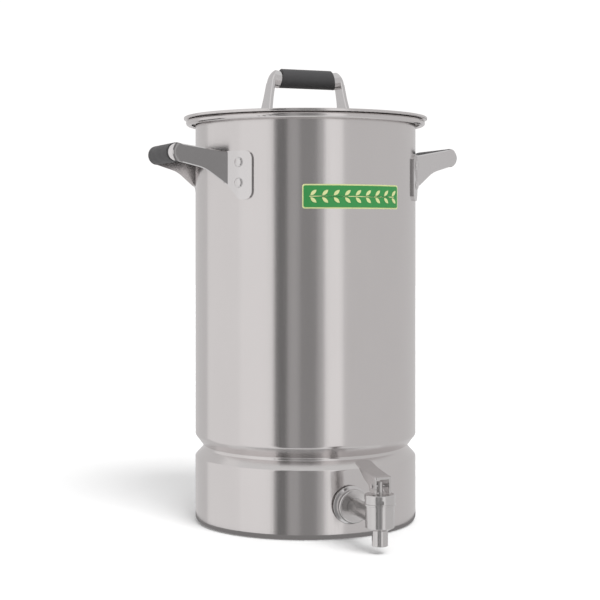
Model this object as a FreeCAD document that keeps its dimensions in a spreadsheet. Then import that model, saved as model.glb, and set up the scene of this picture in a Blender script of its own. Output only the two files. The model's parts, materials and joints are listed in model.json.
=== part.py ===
"""Stainless steep-and-drain brewing vessel with a lift-off lid, false bottom and lever tap.

Millimetres. The origin is the centre of the base on the floor, +Z is up, the tap
looks along -Y and the two side handles stand out along +X and -X.
"""
import FreeCAD, Part
import math
import os
import re

import Sketcher

# Driving dimensions. Names of cells in the sheet "dims".
DIMENSIONS = {
    # vessel
    "vessel_radius": 152, "sheet": 1.5, "base_corner": 7.5, "foot_inner": 122, "foot_rise": 3,
    "groove_low": 89.5, "groove_mid": 102.7, "groove_high": 118.8, "groove_depth": 12.2,
    "rim_top": 550, "rim_radius": 165, "rim_bead": 4.2, "rim_seam": 544,
    # badge
    "badge_turn": 3.6, "badge_span": 54.4, "badge_low": 426, "badge_high": 457.5,
    "badge_plate": 0.6, "badge_field": 0.5, "badge_margin": 1.8,
    # lid
    "lid_radius": 168, "lid_gap": 0.2, "lid_sheet": 1.2, "lid_hem": 4, "lid_plug_radius": 149,
    "lid_plug_drop": 9, "lid_rise": 8.2, "lid_slope": 4.3, "lid_flat_radius": 86,
    "lid_step_radius": 143,
    # grips and the straps that carry them
    "strap": 3, "bar_radius": 6, "grip_radius": 12.7, "grip_bore": 6.15,
    "eye_radius": 11.9, "eye_bevel": 1.3, "shoulder": 5.6, "dome_shift": 7, "dome_width": 11.5,
    "dome_depth": 4.2,
    # side handles
    "bend_turn": 27.4, "flange_turn": 14, "flange_low": 438, "flange_high": 501.6,
    "side_grip_reach": 200.5, "side_grip_height": 500.3, "side_grip_half": 51,
    "flange_corner": 11, "arm_low": 456, "arm_high": 501, "arm_waist": 479,
    # lid handle
    "leg_foot_x": 58.5, "leg_top_x": 50, "lid_grip_height": 607.4, "lid_grip_radius": 13.2,
    "leg_foot_half": 18.5, "leg_bevel": 0.9,
    "lid_strap": 5, "lid_shoulder": 13.5, "lid_flange_length": 29, "lid_flange": 2.5,
    # rivets
    "rivet_head": 6.6, "rivet_dome": 2.6, "rivet_shank": 3, "rivet_hole": 3.1, "rivet_turn": 33.9,
    "rivet_upper": 486.7, "rivet_lower": 460, "rivet_inner_head": 4.6, "rivet_inner_rise": 1,
    "lid_rivet_x": 75, "lid_rivet_y": 9.5,
    # tap
    "tap_height": 45, "tap_reach": 244, "shank_radius": 11, "neck_radius": 10.6,
    "shank_bore": 6, "wall_hole": 11.3, "shank_inner_end": 132, "shank_outer_end": 171,
    "barrel_radius": 18, "barrel_low": 33.1, "barrel_high": 60.6,
    "spout_radius": 10, "spout_low": 10, "spout_bore": 7.5, "spout_seam": 28.5,
    "taper_low": 29.1, "seat_height": 37, "chamber_radius": 13.6, "bonnet_radius": 19,
    "bonnet_top": 74, "bonnet_neck": 13.3,
    "bonnet_cavity": 11, "bonnet_roof": 3, "neck_drop": 5, "stem_radius": 4, "stem_hole": 4.35,
    "escutcheon_radius": 24.6, "escutcheon": 3.6, "outer_seal_radius": 21, "outer_seal": 3.2,
    "collar_radius": 21.5, "collar_dish_radius": 12.3, "collar_dish": 0.9, "collar": 11,
    "bonnet_ring": 0.9, "spanner_slot": 9,
    "inner_seal_radius": 19, "inner_seal": 4.2, "washer_radius": 18, "washer": 1.6,
    "nut_flats": 30, "nut_height": 6.5,
    "cup_radius": 9.6, "cup_height": 8, "cup_rest": 0.3, "stem_collar_radius": 8.6,
    "stem_collar": 1.8, "pin_height": 84, "pin_radius": 2, "pin_half": 12, "stem_above_pin": 5.3,
    "spring_radius": 6.6, "spring_wire": 0.65, "spring_pitch": 3.7,
    # lever
    "cheek_outer": 11, "cheek_inner": 8.4, "cheek_radius": 9.3, "cheek_front": 8.6,
    "cheek_low": 75.4, "blade_width": 22, "cheek_middle": 22, "cheek_middle_height": 89.2, "cheek_back": 40,
    "blade": 3, "blade_front": 11, "blade_front_height": 95.5, "blade_bend": 9,
    "blade_bend_height": 98, "blade_end": 54, "blade_end_height": 108,
    # false bottom
    "plate_radius": 144, "plate_height": 115.2, "plate": 1.5, "seal_radius": 146.3,
    "seal_inner": 141.5, "seal_low": 114, "seal_high": 118, "hole_radius": 2, "ring_step": 15,
    "lug_x": 60, "lug": 2, "lug_half": 7, "bail_pivot": 9.5, "bail_wire": 2, "bail_hole": 2.3,
    "bail_reach": 70, "bail_end": 64, "bail_half": 56,
}

NODES = []

doc = FreeCAD.newDocument("BrewVessel")
sheet = doc.addObject("Spreadsheet::Sheet", "dims")
for row, (alias, number) in enumerate(DIMENSIONS.items(), 1):
    sheet.set(f"A{row}", alias)
    sheet.set(f"B{row}", str(number))
    sheet.setAlias(f"B{row}", alias)
doc.recompute()


# ---------------------------------------------------------------- helpers

FUNCTIONS = {"sin", "cos", "tan", "sqrt", "atan"}


def cells(text):
    """Point every name in an expression at the sheet."""
    def point(found):
        word = found.group(0)
        return word if word in FUNCTIONS else "dims." + word
    return re.sub(r"[a-z][a-z_]*", point, str(text))


def value(text):
    """The number that an expression gives now."""
    number = sheet.evalExpression(cells(text))
    return float(getattr(number, "Value", number))


def bind(item, name, text):
    item.setExpression(name, cells(text))


def new_body(label, at=("0", "0", "0"), turn_axis=(0, 0, 1), turn=0):
    """A body whose place is bound to the sheet."""
    body = doc.addObject("PartDesign::Body", label)
    body.Label = label
    body.AllowCompound = True
    body.Placement = FreeCAD.Placement(
        FreeCAD.Vector(), FreeCAD.Rotation(FreeCAD.Vector(*turn_axis), turn))
    for letter, text in zip("xyz", at):
        bind(body, f"Placement.Base.{letter}", text)
    NODES.append(body)
    return body


def new_sketch(body, role, shift=("0", "0", "0"), turn_axis=(0, 1, 0), turn="0"):
    """A sketch on one of the body's own planes, shifted and turned in that plane's axes."""
    plane = next(f for f in body.Origin.OriginFeatures if f.Role == role)
    sketch = body.newObject("Sketcher::SketchObject", f"{body.Label}_sketch")
    sketch.AttachmentSupport = [(plane, "")]
    sketch.MapMode = "FlatFace"
    sketch.AttachmentOffset = FreeCAD.Placement(
        FreeCAD.Vector(), FreeCAD.Rotation(FreeCAD.Vector(*turn_axis), value(turn)))
    if turn != "0":
        bind(sketch, "AttachmentOffset.Rotation.Angle", turn)
    for letter, text in zip("xyz", shift):
        bind(sketch, f"AttachmentOffset.Base.{letter}", text)
    return sketch


def place_point(sketch, geometry, end, x, y):
    """Hold a point at x, y from the sketch's origin; a zero puts it on the axis."""
    for kind, text, axis in (("DistanceX", x, -2), ("DistanceY", y, -1)):
        if abs(value(text)) < 1e-9:
            sketch.addConstraint(Sketcher.Constraint("PointOnObject", geometry, end, axis))
            continue
        index = sketch.addConstraint(
            Sketcher.Constraint(kind, -1, 1, geometry, end, value(text)))
        bind(sketch, f"Constraints[{index}]", text)


def outline(sketch, points):
    """A closed outline of straight lines; each corner is a pair of expressions."""
    corners = [FreeCAD.Vector(value(x), value(y), 0) for x, y in points]
    first = sketch.GeometryCount
    for start, end in zip(corners, corners[1:] + corners[:1]):
        sketch.addGeometry(Part.LineSegment(start, end), False)
    for index, (x, y) in enumerate(points):
        line = first + index
        after = first + (index + 1) % len(points)
        sketch.addConstraint(Sketcher.Constraint("Coincident", line, 2, after, 1))
        place_point(sketch, line, 1, x, y)


def open_path(sketch, points):
    """An open run of straight lines through the points."""
    corners = [FreeCAD.Vector(value(x), value(y), 0) for x, y in points]
    for start, end in zip(corners, corners[1:]):
        sketch.addGeometry(Part.LineSegment(start, end), False)
    for index in range(len(points) - 2):
        sketch.addConstraint(Sketcher.Constraint("Coincident", index, 2, index + 1, 1))
    for index, (x, y) in enumerate(points[:-1]):
        place_point(sketch, index, 1, x, y)
    place_point(sketch, len(points) - 2, 2, *points[-1])


def circle(sketch, x, y, radius):
    middle = FreeCAD.Vector(value(x), value(y), 0)
    index = sketch.addGeometry(
        Part.Circle(middle, FreeCAD.Vector(0, 0, 1), value(radius)), False)
    place_point(sketch, index, 3, x, y)
    held = sketch.addConstraint(Sketcher.Constraint("Radius", index, value(radius)))
    bind(sketch, f"Constraints[{held}]", radius)


def rounded_waste(sketch, flat, width, depth, inwards):
    """A corner to cut away, bounded by an arc that leaves the face at flat and drops by depth."""
    sign = "" if inwards > 0 else "-"
    bend = f"(({width})^2 + ({depth})^2) / (2 * ({depth}))"
    open_path(sketch, [
        (f"{flat} + {width}", f"{sign}({depth})"), (f"{flat} + {width}", f"{sign}(-1)"),
        (flat, f"{sign}(-1)"), (flat, "0"),
    ])
    middle = FreeCAD.Vector(value(flat), inwards * value(bend), 0)
    steep = math.asin(value(width) / value(bend))
    turns = (-math.pi / 2, steep - math.pi / 2)
    if inwards < 0:
        turns = (math.pi / 2 - steep, math.pi / 2)
    round_edge = Part.Circle(middle, FreeCAD.Vector(0, 0, 1), value(bend))
    arc = sketch.addGeometry(Part.ArcOfCircle(round_edge, *turns), False)
    near, far = (1, 2) if inwards > 0 else (2, 1)
    sketch.addConstraint(Sketcher.Constraint("Coincident", arc, near, 2, 2))
    sketch.addConstraint(Sketcher.Constraint("Coincident", arc, far, 0, 1))
    held = sketch.addConstraint(Sketcher.Constraint("Radius", arc, value(bend)))
    bind(sketch, f"Constraints[{held}]", bend)


def feature(body, kind, sketch):
    made = body.newObject(f"PartDesign::{kind}", f"{body.Label}_{kind}")
    made.Profile = sketch
    return made


def finish(made):
    """Recompute and stop at the first feature that went wrong."""
    doc.recompute()
    if "Invalid" in made.State or "Error" in made.State or made.Shape.isNull():
        raise RuntimeError(f"{made.Name}: {made.State}")
    return made


def pad(body, sketch, length, midplane=False, backwards=False):
    made = feature(body, "Pad", sketch)
    bind(made, "Length", length)
    made.Midplane = midplane
    made.Reversed = backwards
    return finish(made)


def volume_before(body):
    return body.Tip.Shape.Volume


def pocket(body, sketch, length, midplane=False, backwards=False):
    """Cut a prism, and prove that something was cut."""
    before = volume_before(body)
    made = feature(body, "Pocket", sketch)
    bind(made, "Length", length)
    made.Midplane = midplane
    made.Reversed = backwards
    finish(made)
    if before - made.Shape.Volume < 1e-3:
        raise RuntimeError(f"{made.Name} cut nothing")
    return made


def revolve(body, sketch, angle="360", axis="V_Axis", cut=False, midplane=False):
    before = volume_before(body) if cut else 0
    made = feature(body, "Groove" if cut else "Revolution", sketch)
    made.ReferenceAxis = (sketch, [axis])
    made.Midplane = midplane
    bind(made, "Angle", angle)
    finish(made)
    if cut and before - made.Shape.Volume < 1e-3:
        raise RuntimeError(f"{made.Name} cut nothing")
    return made


def edges_where(shape, test):
    """Names of the edges that pass the test."""
    return [f"Edge{i}" for i, edge in enumerate(shape.Edges, 1) if test(edge)]


def dress(body, kind, size, test):
    """Fillet or chamfer the edges that pass the test."""
    base = body.Tip
    names = edges_where(base.Shape, test)
    if not names:
        raise RuntimeError(f"{body.Label}: no edge to {kind}")
    made = body.newObject(f"PartDesign::{kind}", f"{body.Label}_{kind}")
    made.Base = (base, names)
    bind(made, "Radius" if kind == "Fillet" else "Size", size)
    return finish(made)


def ring_at(radius, height=None):
    """Test for a circle of this radius, at this height along the body's axis."""
    def test(edge):
        curve = edge.Curve
        if not isinstance(curve, Part.Circle) or abs(curve.Radius - value(radius)) > 1e-3:
            return False
        return height is None or abs(curve.Center.z - value(height)) < 1e-3
    return test


def upright_edge(x, y, slack=0.6):
    """Test for a vertical straight edge through x, y."""
    def test(edge):
        ends = [v.Point for v in edge.Vertexes]
        if len(ends) != 2 or abs(ends[0].z - ends[1].z) < 1e-3:
            return False
        middle = (ends[0] + ends[1]) * 0.5
        level = math.hypot(ends[0].x - ends[1].x, ends[0].y - ends[1].y) < 1e-3
        return level and math.hypot(middle.x - value(x), middle.y - value(y)) < slack
    return test


def mirror_body(body, role):
    """Add the body's own mirror image in one of its planes."""
    plane = next(f for f in body.Origin.OriginFeatures if f.Role == role)
    tip = body.Tip
    made = body.newObject("PartDesign::Mirrored", f"{body.Label}_mirrored")
    made.TransformMode = "Whole shape"
    made.MirrorPlane = (plane, [""])
    body.Tip = made
    finish(made)
    if made.Shape.Volume < tip.Shape.Volume + 1e-3:
        raise RuntimeError(f"{made.Name} added nothing")
    return made


def turned_ring(label, profile, **place):
    """A body of revolution about its own Z axis."""
    body = new_body(label, **place)
    sketch = new_sketch(body, "XZ_Plane")
    outline(sketch, profile)
    revolve(body, sketch)
    return body


# ---------------------------------------------------------------- vessel

def vessel_shell():
    """Drawn shell with a bead above the tap chamber, pierced for the tap and the rivets."""
    body = turned_ring("vessel_shell", [
        ("0", "foot_rise"),
        ("foot_inner", "foot_rise"),
        ("foot_inner + 3", "0"),
        ("vessel_radius", "0"),
        ("vessel_radius", "groove_low"),
        ("vessel_radius - groove_depth", "groove_mid"),
        ("vessel_radius", "groove_high"),
        ("vessel_radius", "rim_seam"),
        ("vessel_radius - sheet", "rim_seam"),
        ("vessel_radius - sheet", "groove_high + 0.6"),
        ("vessel_radius - groove_depth - 1.25 * sheet", "groove_mid"),
        ("vessel_radius - sheet", "groove_low - 0.7"),
        ("vessel_radius - sheet", "sheet"),
        ("foot_inner + 4", "sheet"),
        ("foot_inner + 1", "foot_rise + sheet"),
        ("0", "foot_rise + sheet"),
    ])
    dress(body, "Fillet", "base_corner", ring_at("vessel_radius", "0"))
    dress(body, "Fillet", "base_corner - sheet", ring_at("vessel_radius - sheet", "sheet"))
    dress(body, "Fillet", "5", ring_at("vessel_radius", "groove_high"))
    dress(body, "Fillet", "2.5", ring_at("vessel_radius", "groove_low"))
    dress(body, "Fillet", "3.2", ring_at("vessel_radius - groove_depth", "groove_mid"))
    dress(body, "Fillet", "4.7",
          ring_at("vessel_radius - groove_depth - 1.25 * sheet", "groove_mid"))

    tap_hole = new_sketch(body, "XZ_Plane")
    circle(tap_hole, "0", "tap_height", "wall_hole")
    pocket(body, tap_hole, "vessel_radius + 5", backwards=True)
    for side in ("rivet_turn", "180 - rivet_turn", "180 + rivet_turn", "-rivet_turn"):
        holes = new_sketch(body, "YZ_Plane", turn=side)
        circle(holes, "0", "rivet_upper", "rivet_hole")
        circle(holes, "0", "rivet_lower", "rivet_hole")
        pocket(body, holes, "vessel_radius + 5", backwards=True)


def vessel_rim():
    """Hoop seam-welded to the top of the shell: a flange turned out into a rolled bead."""
    body = turned_ring("vessel_rim", [
        ("vessel_radius", "rim_seam"),
        ("vessel_radius", "rim_top - sheet"),
        ("rim_radius - rim_bead", "rim_top - sheet"),
        ("rim_radius - rim_bead", "rim_top"),
        ("vessel_radius - sheet", "rim_top"),
        ("vessel_radius - sheet", "rim_seam"),
    ])
    dress(body, "Fillet", "2", ring_at("vessel_radius", "rim_top - sheet"))
    dress(body, "Fillet", "3.4", ring_at("vessel_radius - sheet", "rim_top"))
    bead = new_sketch(body, "XZ_Plane")
    circle(bead, "rim_radius - rim_bead", "rim_top - rim_bead", "rim_bead")
    revolve(body, bead)
    hollow = new_sketch(body, "XZ_Plane")
    circle(hollow, "rim_radius - rim_bead", "rim_top - rim_bead", "rim_bead - sheet")
    revolve(body, hollow, cut=True)
    mouth = new_sketch(body, "XZ_Plane")
    outline(mouth, [
        ("rim_radius - 2 * rim_bead - 1", "rim_top - 1.6 * rim_bead"),
        ("rim_radius - 1.4 * rim_bead", "rim_top - 1.6 * rim_bead"),
        ("rim_radius - 1.4 * rim_bead", "rim_top - 1.1 * rim_bead"),
        ("rim_radius - 2 * rim_bead - 1", "rim_top - 1.1 * rim_bead"),
    ])
    revolve(body, mouth, cut=True)


def badge(label, inner, outer, margin):
    """A thin curved plate on the front of the vessel, with rounded corners."""
    body = new_body(label)
    edge_turn = f"({margin}) / vessel_radius * 180 / 3.14159265"
    sketch = new_sketch(
        body, "XZ_Plane", turn=f"badge_turn - 90 - badge_span / 2 + {edge_turn}")
    outline(sketch, [
        (inner, f"badge_low + {margin}"), (outer, f"badge_low + {margin}"),
        (outer, f"badge_high - {margin}"), (inner, f"badge_high - {margin}"),
    ])
    revolve(body, sketch, angle=f"badge_span - 2 * {edge_turn}")

    def corner(edge):
        box = edge.BoundBox
        return box.ZLength < 1e-3 and edge.Length < 2
    dress(body, "Fillet", f"3.2 - {margin} / 2", corner)
    return body


# ---------------------------------------------------------------- side handles

ARM_TURN = "-atan((bend_half - side_grip_half) / (side_grip_reach - bend_reach))"


def arm_names(text):
    """Write out the places of the bend, which follow from the vessel's radius."""
    return (text.replace("bend_half", "(vessel_radius * sin(bend_turn))")
            .replace("bend_reach", "(vessel_radius * cos(bend_turn))"))


def side_bracket(label, turn):
    """One bent strap each side, riveted to the wall, joined by the bar in the grip."""
    body = new_body(label, turn=turn)
    arm_turn = arm_names(ARM_TURN)
    arm_length = arm_names(
        "sqrt((bend_half - side_grip_half)^2 + (side_grip_reach - bend_reach)^2)")

    def on_plate(offset):
        """The arm's own plane, moved outwards by offset."""
        return dict(turn=arm_turn, shift=(
            f"{arm_names('bend_reach')} - ({offset}) * sin({arm_turn})", "0",
            f"-{arm_names('bend_half')} - ({offset}) * cos({arm_turn})"))

    arm = new_sketch(body, "XZ_Plane", **on_plate("0"))
    outline(arm, [
        ("2", "arm_low"),
        ("2", "arm_high"),
        (arm_length, "side_grip_height + eye_radius"),
        (arm_length, "side_grip_height - eye_radius"),
        (f"0.48 * {arm_length}", "arm_waist"),
    ])
    pad(body, arm, "strap", midplane=True)
    eye = new_sketch(body, "XZ_Plane", **on_plate("strap / 2"))
    circle(eye, arm_length, "side_grip_height", "eye_radius")
    pad(body, eye, "shoulder")

    def waist(edge):
        ends = [v.Point for v in edge.Vertexes]
        return len(ends) == 2 and all(abs(e.z - value("arm_waist")) < 1e-3 for e in ends)
    dress(body, "Fillet", "45", waist)

    normal = FreeCAD.Vector(-math.sin(math.radians(value(arm_turn))),
                            math.cos(math.radians(value(arm_turn))), 0)
    bend = FreeCAD.Vector(value(arm_names("bend_reach")), value(arm_names("bend_half")), 0)

    def outer_rim(edge):
        points = [v.Point for v in edge.Vertexes] + [edge.CenterOfMass]
        face = all(abs((q - bend).dot(normal) - value("strap / 2")) < 1e-3 for q in points)
        eye_edge = isinstance(edge.Curve, Part.Circle) and edge.Curve.Radius < value("eye_radius + 1")
        at_bend = math.hypot(edge.CenterOfMass.x - bend.x, edge.CenterOfMass.y - bend.y) < 4
        return face and not eye_edge and not at_bend
    dress(body, "Chamfer", "eye_bevel", outer_rim)

    dome = new_sketch(
        body, "XY_Plane", turn_axis=(0, 0, 1), turn=arm_turn, shift=(
            f"side_grip_reach - dome_shift * cos({arm_turn}) - strap / 2 * sin({arm_turn})",
            f"side_grip_half - dome_shift * sin({arm_turn}) + strap / 2 * cos({arm_turn})",
            "side_grip_height"))
    rounded_waste(dome, "eye_radius + dome_shift - dome_width", "dome_width", "dome_depth", -1)
    revolve(body, dome, angle="180", cut=True, midplane=True)

    flange = new_sketch(body, "XZ_Plane", turn="bend_turn - 0.7")
    outline(flange, [
        ("vessel_radius", "flange_low"), ("vessel_radius + strap", "flange_low"),
        ("vessel_radius + strap", "flange_high"), ("vessel_radius", "flange_high"),
    ])
    revolve(body, flange, angle="flange_turn + 0.7")
    half = "(vessel_radius * flange_turn / 2 * 3.14159265 / 180)"
    corner_cut = new_sketch(body, "YZ_Plane", turn="bend_turn + flange_turn / 2")
    outline(corner_cut, [
        (f"-{half} - 6", "arm_low + 6"), ("0", "flange_low - 1"),
        (f"-{half} - 6", "flange_low - 1"),
    ])
    pocket(body, corner_cut, "vessel_radius + 9", backwards=True)

    def corner(edge):
        box = edge.BoundBox
        middle = edge.CenterOfMass
        far = math.degrees(math.atan2(middle.y, middle.x)) > value("bend_turn + 3")
        return far and box.ZLength < 1e-3 and edge.Length < value("strap") + 0.5
    dress(body, "Fillet", "flange_corner", corner)

    holes = new_sketch(body, "YZ_Plane", turn="rivet_turn")
    circle(holes, "0", "rivet_upper", "rivet_hole")
    circle(holes, "0", "rivet_lower", "rivet_hole")
    pocket(body, holes, "vessel_radius + 9", backwards=True)
    bar = new_sketch(body, "XZ_Plane")
    circle(bar, "side_grip_reach", "side_grip_height", "bar_radius")
    pad(body, bar, "2 * side_grip_half - 1", midplane=True)
    mirror_body(body, "XZ_Plane")
    return body


def side_grip(label, turn):
    """A silicone sleeve over the bar, mitred to the two straps."""
    body = new_body(label, turn=turn)
    sleeve = new_sketch(body, "XZ_Plane")
    circle(sleeve, "side_grip_reach", "side_grip_height", "grip_radius")
    circle(sleeve, "side_grip_reach", "side_grip_height", "grip_bore")
    pad(body, sleeve, "2 * side_grip_half + 12", midplane=True)
    lean = arm_names("tan((bend_half - side_grip_half) / (side_grip_reach - bend_reach))")
    slope = lean.replace("tan(", "(", 1)
    inner = "side_grip_half + strap / 2 - shoulder - 0.6"
    for side in ("", "-"):
        waste = new_sketch(body, "XY_Plane", shift=("0", "0", "side_grip_height"))
        outline(waste, [
            ("side_grip_reach - 20", f"{side}({inner} + 20 * {slope})"),
            ("side_grip_reach + 20", f"{side}({inner} - 20 * {slope})"),
            ("side_grip_reach + 20", f"{side}(side_grip_half + 20)"),
            ("side_grip_reach - 20", f"{side}(side_grip_half + 20)"),
        ])
        pocket(body, waste, "40", midplane=True)
    return body


def rivet(body, role, turn, height, seat, far_seat, **place):
    """One round-headed rivet whose shank runs outwards along the sketch's own X axis."""
    sketch = new_sketch(body, role, shift=("0", height, "0"), turn=turn, **place)
    outline(sketch, [
        (f"{far_seat} - rivet_inner_rise", "0"),
        (f"{far_seat} - rivet_inner_rise", "rivet_inner_head - 0.6"),
        (f"{far_seat} - 0.3", "rivet_inner_head"),
        (far_seat, "rivet_inner_head"),
        (far_seat, "rivet_shank"),
        (seat, "rivet_shank"),
        (seat, "rivet_head"),
        (f"{seat} + 0.35 * rivet_dome", "0.93 * rivet_head"),
        (f"{seat} + 0.7 * rivet_dome", "0.72 * rivet_head"),
        (f"{seat} + 0.93 * rivet_dome", "0.4 * rivet_head"),
        (f"{seat} + rivet_dome", "0"),
    ])
    revolve(body, sketch, axis="H_Axis")


def side_rivets(label, turn):
    """Four rivets that hold one side handle, as separate solids of one node."""
    body = new_body(label, turn=turn)
    for height in ("rivet_upper", "rivet_lower"):
        rivet(body, "XZ_Plane", "rivet_turn", height, "vessel_radius + strap + 0.05",
              "vessel_radius - sheet - 0.2")
    mirror_body(body, "XZ_Plane")
    return body


# ---------------------------------------------------------------- lid

LID_TOP = "(rim_top + lid_gap + lid_rise)"


def lid_panel():
    """Stepped lid with a hemmed edge."""
    body = turned_ring("lid_panel", [
        ("0", f"{LID_TOP} - lid_sheet"),
        ("lid_flat_radius", f"{LID_TOP} - lid_sheet"),
        ("lid_step_radius - 0.5", f"{LID_TOP} - lid_sheet - lid_slope"),
        ("lid_plug_radius - lid_sheet", "rim_top + lid_gap"),
        ("lid_radius", "rim_top + lid_gap"),
        ("lid_radius", "rim_top + lid_gap + lid_hem"),
        ("lid_plug_radius + 3", "rim_top + lid_gap + lid_sheet"),
        ("lid_step_radius", f"{LID_TOP} - lid_slope"),
        ("lid_flat_radius", LID_TOP),
        ("0", LID_TOP),
    ])
    dress(body, "Fillet", "1.2", ring_at("lid_radius"))
    for side in ("lid_rivet_x", "-lid_rivet_x"):
        holes = new_sketch(body, "XY_Plane", shift=("0", "0", f"{LID_TOP} + 2"))
        circle(holes, side, "lid_rivet_y", "rivet_hole")
        circle(holes, side, "-lid_rivet_y", "rivet_hole")
        pocket(body, holes, "6")
    turned_ring("lid_plug_ring", [
        ("lid_plug_radius - lid_sheet", "rim_top - lid_plug_drop"),
        ("lid_plug_radius", "rim_top - lid_plug_drop"),
        ("lid_plug_radius", "rim_top + lid_gap"),
        ("lid_plug_radius - lid_sheet", "rim_top + lid_gap"),
    ])


LEG_HEIGHT = f"(lid_grip_height - {LID_TOP})"
LEG_LEAN = f"atan((leg_foot_x - leg_top_x) / {LEG_HEIGHT})"
LEG_LENGTH = f"sqrt((leg_foot_x - leg_top_x)^2 + {LEG_HEIGHT}^2)"


def lid_bracket():
    """Two leaning straps on flat feet, joined by the bar in the lid's grip."""
    body = new_body("lid_handle_bracket")

    def on_leg(offset):
        """The leg's own plane, moved outwards by offset."""
        return dict(turn_axis=(1, 0, 0), turn=f"-{LEG_LEAN}", shift=(
            "0", f"{LID_TOP} + ({offset}) * sin({LEG_LEAN})",
            f"leg_foot_x + ({offset}) * cos({LEG_LEAN})"))

    leg = new_sketch(body, "YZ_Plane", **on_leg("0"))
    outline(leg, [
        ("-leg_foot_half", "1"), ("leg_foot_half", "1"),
        ("0.76 * leg_foot_half", f"0.45 * {LEG_LENGTH}"),
        ("eye_radius", LEG_LENGTH), ("-eye_radius", LEG_LENGTH),
        ("-0.76 * leg_foot_half", f"0.45 * {LEG_LENGTH}"),
    ])
    pad(body, leg, "lid_strap", midplane=True)

    def long_edge(edge):
        ends = [v.Point for v in edge.Vertexes]
        return abs(ends[0].z - ends[1].z) > 10
    dress(body, "Chamfer", "leg_bevel", long_edge)
    eye = new_sketch(body, "YZ_Plane", **on_leg("lid_strap / 2"))
    circle(eye, "0", LEG_LENGTH, "eye_radius")
    pad(body, eye, "lid_shoulder", backwards=True)
    dome = new_sketch(
        body, "XZ_Plane", turn_axis=(0, 0, 1), turn=f"2 * atan(1) + {LEG_LEAN}", shift=(
            f"leg_top_x + dome_shift * sin({LEG_LEAN}) + lid_strap / 2 * cos({LEG_LEAN})",
            f"lid_grip_height - dome_shift * cos({LEG_LEAN}) + lid_strap / 2 * sin({LEG_LEAN})",
            "0"))
    rounded_waste(dome, "eye_radius + dome_shift - dome_width", "dome_width",
                  "dome_depth + 1.5", 1)
    revolve(body, dome, angle="180", cut=True, midplane=True)

    foot = new_sketch(body, "XY_Plane", shift=("0", "0", LID_TOP))
    outline(foot, [
        ("leg_foot_x - lid_strap / 2", "leg_foot_half"),
        ("leg_foot_x - lid_strap / 2", "-leg_foot_half"),
        ("leg_foot_x + lid_flange_length", "-leg_foot_half"),
        ("leg_foot_x + lid_flange_length", "leg_foot_half"),
    ])
    pad(body, foot, "lid_flange")
    for side in ("leg_foot_half", "-leg_foot_half"):
        dress(body, "Fillet", "7", upright_edge("leg_foot_x + lid_flange_length", side))
    holes = new_sketch(body, "XY_Plane", shift=("0", "0", f"{LID_TOP} + 4"))
    circle(holes, "lid_rivet_x", "lid_rivet_y", "rivet_hole")
    circle(holes, "lid_rivet_x", "-lid_rivet_y", "rivet_hole")
    pocket(body, holes, "6")
    bar = new_sketch(body, "YZ_Plane")
    circle(bar, "0", "lid_grip_height", "bar_radius")
    pad(body, bar, "2 * leg_top_x - 1", midplane=True)
    mirror_body(body, "YZ_Plane")
    return body


def lid_grip():
    """The lid's silicone sleeve, mitred to its two legs."""
    body = new_body("lid_handle_grip")
    sleeve = new_sketch(body, "YZ_Plane")
    circle(sleeve, "0", "lid_grip_height", "lid_grip_radius")
    circle(sleeve, "0", "lid_grip_height", "grip_bore")
    pad(body, sleeve, "2 * leg_top_x + 12", midplane=True)
    slope = f"((leg_foot_x - leg_top_x) / {LEG_HEIGHT})"
    inner = "leg_top_x + lid_strap / 2 - lid_shoulder - 0.6"
    for side in ("", "-"):
        waste = new_sketch(body, "XZ_Plane")
        outline(waste, [
            (f"{side}({inner} - 20 * {slope})", "lid_grip_height + 20"),
            (f"{side}({inner} + 20 * {slope})", "lid_grip_height - 20"),
            (f"{side}(leg_top_x + 20)", "lid_grip_height - 20"),
            (f"{side}(leg_top_x + 20)", "lid_grip_height + 20"),
        ])
        pocket(body, waste, "40", midplane=True)
    return body


def lid_rivets():
    """Four rivets that hold the lid's handle, as separate solids of one node."""
    body = new_body("lid_handle_rivets")
    for side in ("lid_rivet_y", "-lid_rivet_y"):
        sketch = new_sketch(body, "XZ_Plane", shift=("lid_rivet_x", "0", side))
        seat = f"({LID_TOP} + lid_flange + 0.05)"
        far = f"({LID_TOP} - lid_sheet - 0.05)"
        outline(sketch, [
            ("0", f"{far} - rivet_inner_rise"),
            ("rivet_inner_head - 0.6", f"{far} - rivet_inner_rise"),
            ("rivet_inner_head", f"{far} - 0.3"),
            ("rivet_inner_head", far), ("rivet_shank", far),
            ("rivet_shank", seat), ("rivet_head", seat),
            ("0.93 * rivet_head", f"{seat} + 0.35 * rivet_dome"),
            ("0.72 * rivet_head", f"{seat} + 0.7 * rivet_dome"),
            ("0.4 * rivet_head", f"{seat} + 0.93 * rivet_dome"),
            ("0", f"{seat} + rivet_dome"),
        ])
        revolve(body, sketch)
    mirror_body(body, "YZ_Plane")
    return body


# ---------------------------------------------------------------- tap

TAP_FOOT = ("0", "-tap_reach", "0")
SHANK = dict(at=("0", "0", "tap_height"), turn_axis=(1, 0, 0), turn=90)


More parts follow.
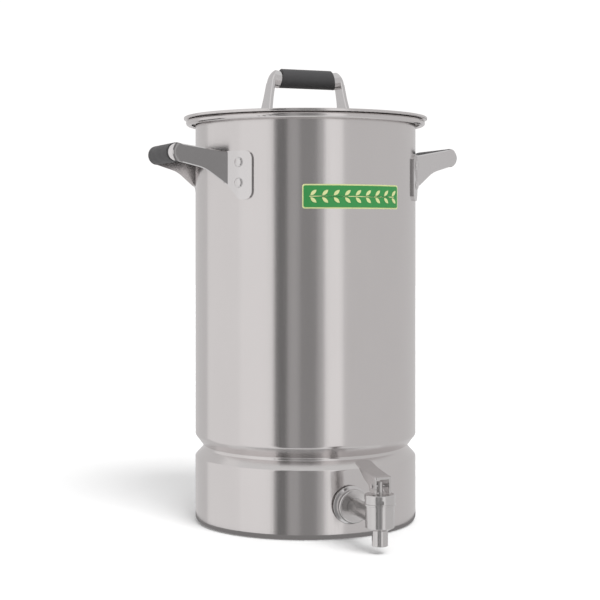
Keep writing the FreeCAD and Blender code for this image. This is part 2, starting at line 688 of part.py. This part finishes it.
def tap_body():
    """Barrel with its seat, the shank that passes through the wall, and the spout below."""
    body = turned_ring("tap_body", [
        ("0", "spout_seam"), ("spout_radius", "spout_seam"),
        ("spout_radius", "taper_low"), ("barrel_radius", "barrel_low"),
        ("barrel_radius", "barrel_high"), ("0", "barrel_high"),
    ], at=TAP_FOOT)
    dress(body, "Fillet", "0.9", ring_at("barrel_radius"))
    neck = new_sketch(body, "XZ_Plane")
    circle(neck, "0", "tap_height", "neck_radius")
    pad(body, neck, "tap_reach - vessel_radius - 14", backwards=True)
    thread = new_sketch(body, "XZ_Plane", shift=("0", "0", "shank_outer_end - tap_reach"))
    circle(thread, "0", "tap_height", "shank_radius")
    pad(body, thread, "shank_outer_end - shank_inner_end", backwards=True)
    hollow = new_sketch(body, "XZ_Plane")
    outline(hollow, [
        ("0", "spout_seam - 1"), ("spout_bore", "spout_seam - 1"),
        ("spout_bore", "seat_height"), ("chamber_radius", "seat_height"),
        ("chamber_radius", "barrel_high + 1"), ("0", "barrel_high + 1"),
    ])
    revolve(body, hollow, cut=True)
    bore = new_sketch(body, "XZ_Plane")
    circle(bore, "0", "tap_height + 0.8", "shank_bore")
    pocket(body, bore, "tap_reach - shank_inner_end + 5")

    spout = turned_ring("tap_spout", [
        ("spout_bore", "spout_low"), ("spout_radius", "spout_low"),
        ("spout_radius", "spout_seam"), ("spout_bore", "spout_seam"),
    ], at=TAP_FOOT)
    dress(spout, "Fillet", "1", ring_at("spout_radius", "spout_low"))


def shank_ring(label, profile, seat_radius=None, keep_outside=True):
    """A ring on the shank; a seal's face follows the curved wall."""
    body = turned_ring(label, profile, **SHANK)
    if seat_radius:
        wall = new_sketch(body, "XZ_Plane")
        circle(wall, "0", "0", seat_radius)
        if not keep_outside:
            circle(wall, "0", "0", f"{seat_radius} + 30")
        pocket(body, wall, "120", midplane=True)
    return body


def tap_rings():
    """Seals, washers and nuts along the shank, from the outside in."""
    hole = "shank_radius + 0.15"
    shank_ring("tap_outer_seal", [
        (hole, "vessel_radius - 4"), ("outer_seal_radius", "vessel_radius - 4"),
        ("outer_seal_radius", "vessel_radius + outer_seal"),
        (hole, "vessel_radius + outer_seal"),
    ], seat_radius="vessel_radius + 0.05")

    plate = "vessel_radius + outer_seal + 0.05"
    flange = shank_ring("tap_escutcheon", [
        (hole, plate), ("escutcheon_radius", plate),
        ("escutcheon_radius", f"{plate} + escutcheon - 1.6"),
        ("escutcheon_radius - 3.6", f"{plate} + escutcheon"),
        (hole, f"{plate} + escutcheon"),
    ])
    dress(flange, "Fillet", "0.8", ring_at("escutcheon_radius"))

    seat = f"{plate} + escutcheon + 0.05"
    collar = shank_ring("tap_collar", [
        (hole, seat), ("collar_radius", seat),
        ("collar_radius", f"{seat} + collar"),
        ("collar_dish_radius", f"{seat} + collar - collar_dish"),
        (hole, f"{seat} + collar - collar_dish"),
    ])
    dress(collar, "Fillet", "0.8", ring_at("collar_radius", seat))
    dress(collar, "Fillet", "2.4", ring_at("collar_radius", f"{seat} + collar"))

    inside = "vessel_radius - sheet"
    shank_ring("tap_inner_seal", [
        (hole, f"{inside} - inner_seal"), ("inner_seal_radius", f"{inside} - inner_seal"),
        ("inner_seal_radius", inside), (hole, inside),
    ], seat_radius=f"{inside} - 0.05", keep_outside=False)
    face = f"{inside} - inner_seal - 0.05"
    shank_ring("tap_washer", [
        (hole, f"{face} - washer"), ("washer_radius", f"{face} - washer"),
        ("washer_radius", face), (hole, face),
    ])

    nut = new_body("tap_lock_nut", **SHANK)
    hexagon = new_sketch(nut, "XY_Plane", shift=("0", "0", f"{face} - washer - 0.05"))
    outline(hexagon, [
        (f"nut_flats / sqrt(3) * cos({angle})", f"nut_flats / sqrt(3) * sin({angle})")
        for angle in range(15, 375, 60)
    ])
    circle(hexagon, "0", "0", hole)
    pad(nut, hexagon, "nut_height", backwards=True)


def tap_bonnet():
    """Screwed cap over the barrel that guides the stem and holds the spring."""
    body = turned_ring("tap_bonnet", [
        ("stem_hole", "bonnet_top"), ("stem_hole", "bonnet_top - bonnet_roof"),
        ("bonnet_cavity", "bonnet_top - bonnet_roof"),
        ("bonnet_cavity", "barrel_high - neck_drop"),
        ("bonnet_neck", "barrel_high - neck_drop"), ("bonnet_neck", "barrel_high + 0.05"),
        ("bonnet_radius + bonnet_ring", "barrel_high + 0.05"),
        ("bonnet_radius + bonnet_ring", "barrel_high + 1.8"),
        ("bonnet_radius", "barrel_high + 2.3"), ("bonnet_radius", "bonnet_top"),
    ], at=TAP_FOOT)
    dress(body, "Fillet", "1.6", ring_at("bonnet_radius", "bonnet_top"))
    for turn in (67, 157, 247, 337):
        slot = new_sketch(body, "YZ_Plane", turn=str(turn), shift=(
            f"(bonnet_radius - 2.6) * sin({turn})", "0", f"(bonnet_radius - 2.6) * cos({turn})"))
        outline(slot, [
            ("-spanner_slot / 2", "barrel_high + 3"), ("spanner_slot / 2", "barrel_high + 3"),
            ("spanner_slot / 2", "barrel_high + 7.5"), ("-spanner_slot / 2", "barrel_high + 7.5"),
        ])
        pocket(body, slot, "4", backwards=True)
    return body


def tap_inside():
    """Stem, its rubber seat cup and the closing spring."""
    cup_low = "(seat_height + cup_rest)"
    cup = turned_ring("tap_seat_cup", [
        ("0", cup_low), ("cup_radius - 1", cup_low), ("cup_radius", f"{cup_low} + 1.2"),
        ("cup_radius", f"{cup_low} + cup_height"),
        ("stem_radius + 0.1", f"{cup_low} + cup_height"),
        ("stem_radius + 0.1", f"{cup_low} + 3"), ("0", f"{cup_low} + 3"),
    ], at=TAP_FOOT)

    collar = f"({cup_low} + cup_height + 0.05)"
    stem = turned_ring("tap_stem", [
        ("0", f"{cup_low} + 3.1"), ("stem_radius", f"{cup_low} + 3.1"),
        ("stem_radius", collar), ("stem_collar_radius", collar),
        ("stem_collar_radius", f"{collar} + stem_collar"),
        ("stem_radius", f"{collar} + stem_collar"),
        ("stem_radius", "pin_height + stem_above_pin"),
        ("0", "pin_height + stem_above_pin"),
    ], at=TAP_FOOT)
    hole = new_sketch(stem, "YZ_Plane")
    circle(hole, "0", "pin_height", "pin_radius + 0.3")
    pocket(stem, hole, "4 * stem_radius", midplane=True)

    low = f"({collar} + stem_collar + spring_wire + 0.1)"
    high = "(bonnet_top - bonnet_roof - spring_wire - 0.1)"
    helix = doc.addObject("Part::Helix", "spring_path")
    bind(helix, "Radius", "spring_radius")
    bind(helix, "Pitch", "spring_pitch")
    bind(helix, "Height", f"{high} - {low}")
    wire = doc.addObject("Part::Circle", "spring_section")
    bind(wire, "Radius", "spring_wire")
    wire.Placement = FreeCAD.Placement(
        FreeCAD.Vector(), FreeCAD.Rotation(FreeCAD.Vector(1, 0, 0), 90))
    for item in (helix, wire):
        bind(item, "Placement.Base.y", "-tap_reach")
        bind(item, "Placement.Base.z", low)
    bind(wire, "Placement.Base.x", "spring_radius")
    spring = doc.addObject("Part::Sweep", "tap_spring")
    spring.Label = "tap_spring"
    spring.Sections = [wire]
    spring.Spine = (helix, [])
    spring.Solid = True
    spring.Frenet = True
    finish(spring)
    NODES.append(spring)
    return cup, stem


def tap_lever():
    """Hand lever: a channel, its web bent up over the shank, its cheeks beside the stem."""
    body = new_body("tap_lever", at=TAP_FOOT)
    blade = new_sketch(body, "YZ_Plane")
    top = [
        ("-blade_front", "blade_front_height + 0.6"), ("0", "blade_front_height + 1"),
        ("blade_bend", "blade_bend_height"), ("0.55 * blade_end", "blade_bend_height + 3.2"),
        ("blade_end", "blade_end_height"),
    ]
    under = [(x, f"{y} - blade") for x, y in reversed(top)]
    outline(blade, top + under)
    pad(body, blade, "blade_width", midplane=True)
    for side in ("blade_width / 2", "-blade_width / 2"):
        for end, size in (("blade_end", "7"), ("-blade_front", "2.5")):
            dress(body, "Fillet", size, upright_edge(side, end))

    for side in ("", "-"):
        place = dict(shift=("0", "0", f"{side}(cheek_outer + cheek_inner) / 2"))
        cheek = new_sketch(body, "YZ_Plane", **place)
        outline(cheek, [
            ("-cheek_front", "cheek_low"), ("0", "cheek_low"), ("cheek_radius", "pin_height"),
            ("cheek_middle", "cheek_middle_height"),
            ("cheek_back", "blade_bend_height + 3.6"),
            ("0.55 * blade_end", "blade_bend_height + 1.8"),
            ("blade_bend", "blade_bend_height - 1.2"), ("0", "blade_front_height - 0.4"),
            ("-cheek_front", "blade_front_height - 0.8"),
        ])
        pad(body, cheek, "cheek_outer - cheek_inner", midplane=True)
        boss = new_sketch(body, "YZ_Plane", **place)
        circle(boss, "0", "pin_height", "cheek_radius")
        pad(body, boss, "cheek_outer - cheek_inner", midplane=True)
    hole = new_sketch(body, "YZ_Plane")
    circle(hole, "0", "pin_height", "pin_radius + 0.05")
    pocket(body, hole, "4 * cheek_outer", midplane=True)

    pin = new_body("tap_lever_pin", at=("0", "-tap_reach", "pin_height"),
                   turn_axis=(0, 1, 0), turn=90)
    shape = new_sketch(pin, "XZ_Plane")
    outline(shape, [
        ("0", "-pin_half"), ("pin_radius + 1", "-pin_half"),
        ("pin_radius + 1", "-cheek_outer - 0.1"),
        ("pin_radius", "-cheek_outer - 0.1"), ("pin_radius", "cheek_outer + 0.1"),
        ("pin_radius + 1", "cheek_outer + 0.1"), ("pin_radius + 1", "pin_half"), ("0", "pin_half"),
    ])
    revolve(pin, shape)
    return body


# ---------------------------------------------------------------- false bottom

def false_bottom():
    """Perforated plate with a silicone edge that rests on the bead inside the vessel."""
    plate = turned_ring("strainer_plate", [
        ("0", "plate_height"), ("plate_radius", "plate_height"),
        ("plate_radius", "plate_height + plate"), ("0", "plate_height + plate"),
    ])
    for ring in range(1, 9):
        around = 6 * ring
        holes = new_sketch(plate, "XY_Plane", shift=("0", "0", "plate_height - 1"))
        for step in range(around):
            angle = 360 / around * step + 30
            circle(holes, f"{ring} * ring_step * cos({angle:.3f})",
                   f"{ring} * ring_step * sin({angle:.3f})", "hole_radius")
        pocket(plate, holes, "plate + 2", backwards=True)

    turned_ring("strainer_seal", [
        ("seal_inner", "seal_low"), ("seal_radius - 1.5", "seal_low"),
        ("seal_radius", "seal_low + 1.6"), ("seal_radius", "seal_high"),
        ("seal_inner", "seal_high"), ("seal_inner", "plate_height + plate + 0.05"),
        ("plate_radius + 0.05", "plate_height + plate + 0.05"),
        ("plate_radius + 0.05", "plate_height - 0.05"), ("seal_inner", "plate_height - 0.05"),
    ])

    lugs = new_body("strainer_lugs", at=("0", "0", "plate_height + plate + 0.02"))
    ear = new_sketch(lugs, "YZ_Plane", shift=("0", "0", "lug_x"))
    outline(ear, [
        ("-lug_half", "0"), ("lug_half", "0"),
        ("0.62 * lug_half", "bail_pivot + 4"), ("-0.62 * lug_half", "bail_pivot + 4"),
    ])
    pad(lugs, ear, "lug", midplane=True)
    tab = new_sketch(lugs, "XY_Plane")
    outline(tab, [
        ("lug_x", "-lug_half"), ("lug_x + 12", "-lug_half"),
        ("lug_x + 12", "lug_half"), ("lug_x", "lug_half"),
    ])
    pad(lugs, tab, "lug * 0.75")
    eye = new_sketch(lugs, "YZ_Plane")
    circle(eye, "0", "bail_pivot", "bail_hole")
    pocket(lugs, eye, "lug_x + 20", backwards=True)
    mirror_body(lugs, "YZ_Plane")

    bail = new_body("strainer_bail", at=("0", "0", "plate_height + plate + bail_pivot + 0.02"))
    spine = new_sketch(bail, "XY_Plane")
    open_path(spine, [
        ("-bail_end", "0"), ("-bail_half", "0"), ("-bail_half", "bail_reach"),
        ("bail_half", "bail_reach"), ("bail_half", "0"), ("bail_end", "0"),
    ])
    section = new_sketch(bail, "YZ_Plane", shift=("0", "0", "-bail_end"))
    circle(section, "0", "0", "bail_wire")
    pipe = feature(bail, "AdditivePipe", section)
    pipe.Spine = (spine, [])
    pipe.Transition = "Round corner"
    finish(pipe)


# ---------------------------------------------------------------- build

def build():
    vessel_shell()
    vessel_rim()
    badge("badge_plate", "vessel_radius + 0.02", "vessel_radius + badge_plate", "0")
    badge("badge_field", "vessel_radius + badge_plate + 0.02",
          "vessel_radius + badge_plate + badge_field", "badge_margin")
    for side, turn in (("right", 0), ("left", 180)):
        side_bracket(f"handle_bracket_{side}", turn)
        side_grip(f"handle_grip_{side}", turn)
        side_rivets(f"handle_rivets_{side}", turn)
    lid_panel()
    lid_bracket()
    lid_grip()
    lid_rivets()
    tap_body()
    tap_rings()
    tap_bonnet()
    tap_inside()
    tap_lever()
    false_bottom()


def export():
    """Check every object, then write one STEP file per node."""
    doc.recompute()
    for item in doc.Objects:
        if "Invalid" in item.State or "Error" in item.State:
            raise RuntimeError(f"{item.Label}: {item.State}")
    os.makedirs("parts", exist_ok=True)
    for node in NODES:
        if node.Shape.isNull() or not node.Shape.isValid():
            raise RuntimeError(f"{node.Label}: bad shape")
        node.Shape.exportStep(f"parts/{node.Label}.step")
        print(f"{node.Label:24s} {len(node.Shape.Solids)} solid(s) {node.Shape.Volume:12.1f} mm3")


build()
export()
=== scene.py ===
"""Looks of the stainless brewing vessel: materials, ornament, spring, studio and camera.

Metres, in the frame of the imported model: +Z up, the tap looks along -Y.
"""
import json
import math

import bmesh
import bpy
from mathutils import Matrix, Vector


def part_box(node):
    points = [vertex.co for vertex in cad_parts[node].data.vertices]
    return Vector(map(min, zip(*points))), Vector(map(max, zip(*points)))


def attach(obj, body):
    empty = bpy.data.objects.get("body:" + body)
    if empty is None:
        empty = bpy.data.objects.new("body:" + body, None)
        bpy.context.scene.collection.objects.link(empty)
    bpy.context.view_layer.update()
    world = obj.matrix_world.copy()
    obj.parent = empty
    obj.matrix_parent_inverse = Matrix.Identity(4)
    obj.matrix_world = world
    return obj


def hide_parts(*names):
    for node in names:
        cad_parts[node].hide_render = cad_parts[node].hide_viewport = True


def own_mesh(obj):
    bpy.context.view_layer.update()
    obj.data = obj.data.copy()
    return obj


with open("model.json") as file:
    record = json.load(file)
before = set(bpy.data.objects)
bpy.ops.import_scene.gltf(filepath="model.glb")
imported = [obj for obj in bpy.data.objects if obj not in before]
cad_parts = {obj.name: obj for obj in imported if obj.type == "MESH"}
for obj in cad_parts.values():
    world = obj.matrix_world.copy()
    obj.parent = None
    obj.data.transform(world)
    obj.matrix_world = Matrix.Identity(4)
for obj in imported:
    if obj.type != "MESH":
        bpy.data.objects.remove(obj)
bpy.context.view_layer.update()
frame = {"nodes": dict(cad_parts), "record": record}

nodes = frame["nodes"]


# ---------------------------------------------------------------- helpers

def new_material(name):
    """A node material with only its Principled shader, and that shader."""
    material = bpy.data.materials.new(name)
    material.use_nodes = True
    return material, material.node_tree, material.node_tree.nodes["Principled BSDF"]


def add(tree, kind, **settings):
    """One shader node with its properties set."""
    node = tree.nodes.new(kind)
    for name, value in settings.items():
        setattr(node, name, value)
    return node


def stretched_noise(tree, scale, detail=3.0, roughness=0.6):
    """Noise in object space, stretched by a scale for each axis."""
    place = add(tree, "ShaderNodeTexCoord")
    mapping = add(tree, "ShaderNodeMapping")
    mapping.inputs["Scale"].default_value = scale
    noise = add(tree, "ShaderNodeTexNoise")
    noise.inputs["Scale"].default_value = 1.0
    noise.inputs["Detail"].default_value = detail
    noise.inputs["Roughness"].default_value = roughness
    tree.links.new(place.outputs["Object"], mapping.inputs["Vector"])
    tree.links.new(mapping.outputs["Vector"], noise.inputs["Vector"])
    return noise.outputs["Fac"]


def spread(tree, source, low, high):
    """Map the middle half of a noise texture's range onto low to high."""
    node = add(tree, "ShaderNodeMapRange")
    node.inputs["From Min"].default_value = 0.25
    node.inputs["From Max"].default_value = 0.75
    node.inputs["To Min"].default_value = low
    node.inputs["To Max"].default_value = high
    tree.links.new(source, node.inputs["Value"])
    return node.outputs["Result"]


def tint(tree, source, dark, light):
    """A colour between two, chosen by a texture, through the Mix node's colour sockets."""
    node = add(tree, "ShaderNodeMix", data_type="RGBA")
    node.inputs[6].default_value = (*dark, 1)
    node.inputs[7].default_value = (*light, 1)
    tree.links.new(source, node.inputs[0])
    return node.outputs[2]


def bump(tree, shader, height, strength, distance):
    """Fine relief on the shader, from a texture; distance is its depth in metres."""
    node = add(tree, "ShaderNodeBump")
    node.inputs["Strength"].default_value = strength
    node.inputs["Distance"].default_value = distance
    tree.links.new(height, node.inputs["Height"])
    tree.links.new(node.outputs["Normal"], shader.inputs["Normal"])


def around(turn, radius, height):
    """A place round the vessel's axis; a turn of 0 is in front of the tap."""
    return Vector((radius * math.sin(turn), -radius * math.cos(turn), height))


def new_object(name, work, material):
    """An object in the scene from a bmesh, which is freed."""
    mesh = bpy.data.meshes.new(name)
    work.to_mesh(mesh)
    work.free()
    mesh.materials.append(material)
    item = bpy.data.objects.new(name, mesh)
    bpy.context.scene.collection.objects.link(item)
    return item


def dimmed(colour, share):
    """A colour with each channel scaled by one share."""
    return tuple(share * channel for channel in colour)


# ---------------------------------------------------------------- materials

# Noise scales per metre, along X, Y and Z.
STEEL_PATCHES = (14.0, 14.0, 9.0)
SILICONE_SKIN = (900.0, 900.0, 900.0)
SILICONE_PATCHES = (60.0, 60.0, 60.0)
ENAMEL_PATCHES = (120.0, 120.0, 120.0)
FLOOR_SPECKLE = (30.0, 30.0, 30.0)
# Depths of the fine relief in metres.
GRAIN_DEPTH = 0.0002
SKIN_DEPTH = 0.0001
# How far the silicone's roughness drifts either way, and the enamel's range of roughness.
SILICONE_DRIFT = 0.06
ENAMEL_ROUGH = (0.34, 0.42)


def steel(name, colour, rough, grain, grain_strength, spin=None, turn=0.0):
    """Satin steel: lines of grain in the roughness and relief, and a slight colour drift."""
    material, tree, shader = new_material(name)
    lines = stretched_noise(tree, grain, detail=4.0, roughness=0.7)
    patches = stretched_noise(tree, STEEL_PATCHES, detail=2.0)
    dark = dimmed(colour, 0.955)
    tree.links.new(tint(tree, patches, dark, colour), shader.inputs["Base Color"])
    tree.links.new(spread(tree, lines, *rough), shader.inputs["Roughness"])
    shader.inputs["Metallic"].default_value = 1.0
    if spin:
        shader.inputs["Anisotropic"].default_value = spin
        shader.inputs["Anisotropic Rotation"].default_value = turn
        tangent = add(tree, "ShaderNodeTangent", direction_type="RADIAL", axis="Z")
        tree.links.new(tangent.outputs["Tangent"], shader.inputs["Tangent"])
    bump(tree, shader, lines, grain_strength, GRAIN_DEPTH)
    return material


def silicone(name, colour, rough):
    """Matte moulded silicone with a fine skin."""
    material, tree, shader = new_material(name)
    skin = stretched_noise(tree, SILICONE_SKIN, detail=2.0)
    patches = stretched_noise(tree, SILICONE_PATCHES, detail=2.0)
    dark = dimmed(colour, 0.8)
    drift = (rough - SILICONE_DRIFT, rough + SILICONE_DRIFT)
    tree.links.new(tint(tree, patches, dark, colour), shader.inputs["Base Color"])
    tree.links.new(spread(tree, patches, *drift), shader.inputs["Roughness"])
    bump(tree, shader, skin, 0.25, SKIN_DEPTH)
    return material


def enamel(name, colour):
    """Printed enamel with a slight orange-peel surface."""
    material, tree, shader = new_material(name)
    patches = stretched_noise(tree, ENAMEL_PATCHES, detail=2.0)
    dark = dimmed(colour, 0.92)
    tree.links.new(tint(tree, patches, dark, colour), shader.inputs["Base Color"])
    tree.links.new(spread(tree, patches, *ENAMEL_ROUGH), shader.inputs["Roughness"])
    bump(tree, shader, patches, 0.1, SKIN_DEPTH)
    return material


MATERIALS = {
    "brushed_steel": steel("vessel_steel", (0.73, 0.705, 0.70), (0.15, 0.23),
                           (420.0, 420.0, 5.0), 0.04, spin=0.5, turn=0.25),
    "polished_steel": steel("bracket_steel", (0.74, 0.725, 0.725), (0.10, 0.18),
                            (240.0, 240.0, 500.0), 0.05),
    "tap_steel": steel("tap_steel", (0.68, 0.665, 0.66), (0.16, 0.26),
                       (260.0, 260.0, 700.0), 0.08),
    "spring_steel": steel("spring_steel", (0.5, 0.5, 0.5), (0.25, 0.35),
                          (300.0, 300.0, 300.0), 0.1),
    "grip_silicone": silicone("grip_silicone", (0.051, 0.050, 0.052), 0.5),
    "seal_silicone": silicone("seal_silicone", (0.62, 0.62, 0.6), 0.5),
    "badge_green": enamel("badge_green", (0.022, 0.21, 0.048)),
    "badge_cream": enamel("badge_cream", (0.52, 0.56, 0.26)),
}


# ---------------------------------------------------------------- added pieces

# The badge's face: distance from the vessel's axis, and half of its width round the wall.
BADGE_FACE = 0.1531
BADGE_HALF = 0.0722

# The ornament on it, in flat badge coordinates: x round the wall, y up.
SPRIG_SHARE = 0.84
LEAF_PAIRS = 9
LEAF_SHIFT = 0.0028
LEAF_RISE = 0.0048
LEAF_LENGTH = 0.0105
LEAF_WIDTH = 0.0046
LEAF_LEAN = math.radians(42)
LEAF_STEPS = 6
LEAF_ROUNDNESS = 0.8
STEM_STEPS = 60
STEM_OVERRUN = 1.04
STEM_HALF = 0.00055
ORNAMENT_BACK = 0.00002
ORNAMENT_FRONT = 0.00035


def leaf_outline(middle, lean):
    """The outline of one pointed leaf in flat badge coordinates."""
    sides = []
    for side in (1, -1):
        edge = []
        for step in range(LEAF_STEPS + 1):
            along = step / LEAF_STEPS
            half = side * LEAF_WIDTH / 2 * math.sin(math.pi * along) ** LEAF_ROUNDNESS
            x = (along - 0.5) * LEAF_LENGTH
            edge.append((middle[0] + x * math.cos(lean) - half * math.sin(lean),
                         middle[1] + x * math.sin(lean) + half * math.cos(lean)))
        sides.append(edge)
    return sides[0] + sides[1][-2:0:-1]


def sprig_outlines():
    """Pairs of leaves along a stem, as outlines in flat badge coordinates."""
    reach = SPRIG_SHARE * BADGE_HALF
    outlines = []
    for index in range(LEAF_PAIRS):
        x = reach * (2 * index / (LEAF_PAIRS - 1) - 1)
        for side in (1, -1):
            outlines.append(leaf_outline((x + LEAF_SHIFT, side * LEAF_RISE), side * LEAF_LEAN))
    upper = [(reach * (2 * i / STEM_STEPS - 1) * STEM_OVERRUN, STEM_HALF)
             for i in range(STEM_STEPS + 1)]
    outlines.append(upper + [(x, -STEM_HALF) for x, _ in reversed(upper)])
    return outlines


def badge_sprig():
    """A plain row of leaves along a stem, raised in cream on the badge's green field."""
    low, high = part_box("badge_field")
    centre = math.atan2(low.x + high.x, -(low.y + high.y))
    level = (low.z + high.z) / 2
    work = bmesh.new()
    for outline in sprig_outlines():
        back, front = ([work.verts.new(around(centre + x / BADGE_FACE, BADGE_FACE + rise, level + y))
                        for x, y in outline] for rise in (ORNAMENT_BACK, ORNAMENT_FRONT))
        work.faces.new(front)
        work.faces.new(list(reversed(back)))
        for index in range(len(outline)):
            after = (index + 1) % len(outline)
            work.faces.new((back[index], back[after], front[after], front[index]))
    bmesh.ops.recalc_face_normals(work, faces=work.faces)
    item = new_object("badge_sprig", work, MATERIALS["badge_cream"])
    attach(item, "vessel")


def closing_spring():
    """The stem's spring, which the rising stem presses up against the bonnet's roof in the real tap;
    here a still copy of its CAD node, set on the vessel.
    """
    item = bpy.data.objects.new("closing_spring", nodes["tap_spring"].data.copy())
    bpy.context.scene.collection.objects.link(item)
    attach(item, "vessel")
    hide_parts("tap_spring")
    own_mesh(item)


def dress_nodes():
    """Give every CAD node the material of its slot."""
    slots = {part["node"]: part["material_slot"] for part in frame["record"]["subparts"]}
    for name, item in nodes.items():
        item.data.materials.clear()
        item.data.materials.append(MATERIALS[slots[name]])


# ---------------------------------------------------------------- studio

# Metres, with the lens and sensor in millimetres; turns are in radians and steps in degrees.
CAMERA_TURN = math.radians(-22.0)
CAMERA_DISTANCE = 2.0
EYE_HEIGHT = 0.394
SENSOR = 36.0
LENS = 86.58
# Sideways and vertical shift as shares of the frame.
LENS_SHIFT = (-0.009167, -0.110833)
FLOOR_DARK = (0.93, 0.93, 0.93)
FLOOR_LIGHT = (0.95, 0.95, 0.95)
WORLD_RADIANCE = 0.75
BACKDROP_RADIUS = 9.0
BACKDROP_RADIANCE = 1.05
SUN_DISTANCE = 3.0
PANEL_RADIUS = 4.0
PANEL_HEIGHTS = (-4.0, 4.5)
PANEL_STEP = 4
SHADE_RADII = (0.11, 0.172)
SHADE_HEIGHT = 0.0004
SHADE_RADIANCE = 0.24
SHADE_STEP = 5


def glowing(name, radiance):
    """An emission material of one brightness."""
    material = bpy.data.materials.new(name)
    material.use_nodes = True
    tree = material.node_tree
    tree.nodes.clear()
    glow = add(tree, "ShaderNodeEmission")
    glow.inputs["Color"].default_value = (1.0, 0.985, 0.985, 1)
    glow.inputs["Strength"].default_value = radiance
    output = add(tree, "ShaderNodeOutputMaterial")
    tree.links.new(glow.outputs["Emission"], output.inputs["Surface"])
    return material


def stage_for(item, camera=False, glossy=False):
    """Set the ray visibility of a stage piece, so that only the camera or only reflections see it.
    """
    item.visible_camera = camera
    item.visible_glossy = glossy
    item.visible_diffuse = False
    item.visible_shadow = False
    item.visible_transmission = False


def reflector(name, start, end, radiance):
    """An upright curved studio panel, seen only in reflections; degrees right of the camera."""
    steps = max(2, int(abs(end - start) / PANEL_STEP))
    work = bmesh.new()
    columns = []
    for step in range(steps + 1):
        turn = CAMERA_TURN + math.radians(start + (end - start) * step / steps)
        columns.append([work.verts.new(around(turn, PANEL_RADIUS, z)) for z in PANEL_HEIGHTS])
    for left, right in zip(columns, columns[1:]):
        work.faces.new((left[0], right[0], right[1], left[1]))
    stage_for(new_object(name, work, glowing(name, radiance)), glossy=True)


def backdrop():
    """A white dome round the studio that only the camera sees."""
    work = bmesh.new()
    bmesh.ops.create_uvsphere(work, u_segments=48, v_segments=24, radius=BACKDROP_RADIUS)
    stage_for(new_object("backdrop", work, glowing("backdrop", BACKDROP_RADIANCE)), camera=True)


def sun(turn, height, softness, strength):
    """A broad soft light; turn is degrees right of the camera, height is its elevation."""
    light = bpy.data.lights.new("sun", "SUN")
    light.angle = math.radians(softness)
    light.energy = strength
    item = bpy.data.objects.new("sun", light)
    rise = math.radians(height)
    item.location = around(CAMERA_TURN + math.radians(turn),
                           SUN_DISTANCE * math.cos(rise), SUN_DISTANCE * math.sin(rise))
    item.rotation_euler = (-item.location).to_track_quat("-Z", "Y").to_euler()
    item.visible_glossy = False
    bpy.context.scene.collection.objects.link(item)


def floor():
    """A plain pale floor, kept out of the steel's reflections."""
    material, tree, shader = new_material("floor")
    speckle = stretched_noise(tree, FLOOR_SPECKLE)
    tree.links.new(tint(tree, speckle, FLOOR_DARK, FLOOR_LIGHT), shader.inputs["Base Color"])
    shader.inputs["Roughness"].default_value = 0.9
    work = bmesh.new()
    bmesh.ops.create_circle(work, cap_ends=True, segments=96, radius=BACKDROP_RADIUS)
    item = new_object("floor", work, material)
    item.visible_glossy = False


def base_shade():
    """The shaded strip of floor close round the base, seen only in reflections."""
    work = bmesh.new()
    inner, outer = ([work.verts.new(around(math.radians(turn), radius, SHADE_HEIGHT))
                     for turn in range(0, 360, SHADE_STEP)] for radius in SHADE_RADII)
    for index in range(len(inner)):
        after = (index + 1) % len(inner)
        work.faces.new((inner[index], inner[after], outer[after], outer[index]))
    strip = new_object("base_shade", work, glowing("base_shade", SHADE_RADIANCE))
    stage_for(strip, glossy=True)


# Brightness of the studio round the vessel: degrees right of the camera, and radiance.
PANELS = (
    ("far_left", -180, -120, 0.64), ("left", -120, -70, 0.84), ("left_near", -70, -31.5, 0.90),
    ("dark", -31.5, -18, 0.17), ("grey_left", -18, -6, 0.42), ("grey", -6, 12, 0.28),
    ("grey_right", 12, 19, 0.46), ("key", 19, 38, 0.93), ("right", 38, 180, 0.64),
)


def studio():
    """Pale surroundings, the panels, the backdrop, the base's shade and one soft sun."""
    world = bpy.data.worlds.new("studio")
    world.use_nodes = True
    sky = world.node_tree.nodes["Background"]
    sky.inputs["Color"].default_value = (1, 1, 1, 1)
    sky.inputs["Strength"].default_value = WORLD_RADIANCE
    bpy.context.scene.world = world
    for name, start, end, radiance in PANELS:
        reflector(f"panel_{name}", start, end, radiance)
    backdrop()
    base_shade()
    sun(turn=30, height=50, softness=34, strength=2.2)
    bpy.context.scene.view_settings.view_transform = "Standard"


def camera():
    """Level camera with a vertical shift, as the upright sides ask for."""
    data = bpy.data.cameras.new("camera")
    data.sensor_width = SENSOR
    data.lens = LENS
    data.shift_x, data.shift_y = LENS_SHIFT
    item = bpy.data.objects.new("camera", data)
    item.location = around(CAMERA_TURN, CAMERA_DISTANCE, EYE_HEIGHT)
    item.rotation_euler = (math.pi / 2, 0, CAMERA_TURN)
    bpy.context.scene.collection.objects.link(item)
    bpy.context.scene.camera = item


dress_nodes()
badge_sprig()
closing_spring()
floor()
studio()
camera()
